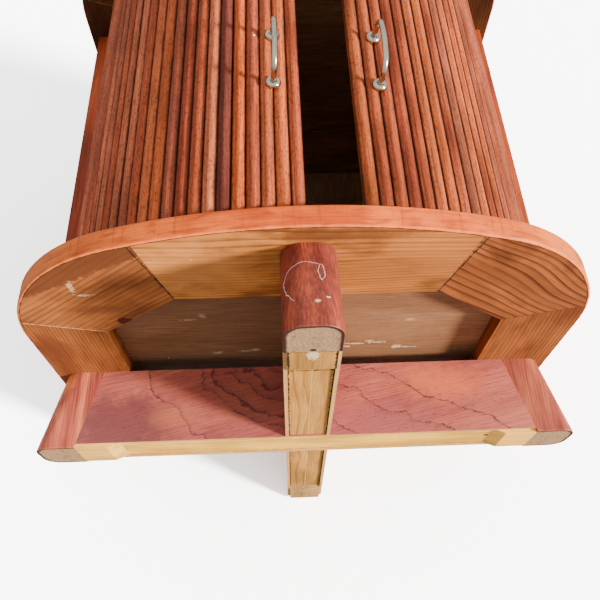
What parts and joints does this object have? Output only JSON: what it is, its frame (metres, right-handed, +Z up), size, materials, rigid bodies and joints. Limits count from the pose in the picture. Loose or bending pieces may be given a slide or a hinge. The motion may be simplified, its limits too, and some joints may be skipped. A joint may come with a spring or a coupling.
{
  "type": "tambour cabinet",
  "caption": "Bow-fronted wooden cabinet with two reeded tambour doors, bent wire pulls and a crossed-beam base.",
  "frame": {"origin": "middle of the whole object's footprint, on the surface that the foot pads stand on", "axes": "+Z up, the doors face -Y, +X to the right as seen from the front"},
  "size_m": [0.594, 0.5752, 0.597],
  "materials": {
    "core_pine": "planed pine",
    "pad_pine": "planed pine",
    "screw_steel": "zinc plated",
    "figured_veneer": "satin oil",
    "straight_veneer": "satin oil",
    "nose_hardwood": "satin oil",
    "frame_pine": "clear finish",
    "bottom_ply": "bare",
    "top_veneer": "satin oil",
    "lining_ply": "bare",
    "band_hardwood": "satin oil",
    "side_veneer": "satin oil",
    "back_ply": "bare",
    "threshold_wood": "bare",
    "slat_hardwood": "satin oil",
    "canvas": "plain weave",
    "polished_nickel": "polished"
  },
  "bodies": {
    "cabinet": {"back_panel": "back_ply", "base_core_front_back": "core_pine", "base_core_left_right": "core_pine", "base_nose_front": "nose_hardwood", "base_nose_left": "nose_hardwood", "base_nose_right": "nose_hardwood", "base_pad_back": "pad_pine", "base_pad_front": "pad_pine", "base_pad_left": "pad_pine", "base_pad_right": "pad_pine", "base_screws": "screw_steel", "base_skin_back": "figured_veneer", "base_skin_front": "figured_veneer", "base_skin_left_front": "straight_veneer", "base_skin_left_rear": "straight_veneer", "base_skin_right_front": "straight_veneer", "base_skin_right_rear": "straight_veneer", "bottom_board": "bottom_ply", "bottom_edge_band": "band_hardwood", "bottom_frame_back": "frame_pine", "bottom_frame_front": "frame_pine", "bottom_frame_front_left": "frame_pine", "bottom_frame_front_right": "frame_pine", "bottom_frame_left": "frame_pine", "bottom_frame_right": "frame_pine", "side_panel_left": "side_veneer", "side_panel_right": "side_veneer", "threshold_rail": "threshold_wood", "top_board": "top_veneer", "top_edge_band": "band_hardwood", "top_frame_back": "frame_pine", "top_frame_front": "frame_pine", "top_frame_front_left": "frame_pine", "top_frame_front_right": "frame_pine", "top_frame_left": "frame_pine", "top_frame_right": "frame_pine", "top_lining": "lining_ply"},
    "left_door": {"left_door_canvas": "canvas", "left_door_lead_slat": "slat_hardwood", "left_door_slats": "slat_hardwood", "left_pull_bow": "polished_nickel", "left_pull_rosettes": "polished_nickel", "left_pull_screws": "screw_steel"},
    "right_door": {"right_door_canvas": "canvas", "right_door_lead_slat": "slat_hardwood", "right_door_slats": "slat_hardwood", "right_pull_bow": "polished_nickel", "right_pull_rosettes": "polished_nickel", "right_pull_screws": "screw_steel"}
  },
  "joints": [
    {"name": "left_door_slide", "type": "hinge", "parent": "cabinet", "child": "left_door", "pos_m": [-0.043, -0.05544, 0.342], "axis": [0, 0, -1], "range_deg": [0, 88]},
    {"name": "right_door_slide", "type": "hinge", "parent": "cabinet", "child": "right_door", "pos_m": [0.043, -0.05544, 0.342], "axis": [0, 0, 1], "range_deg": [-13.3, 74.7]}
  ]
}
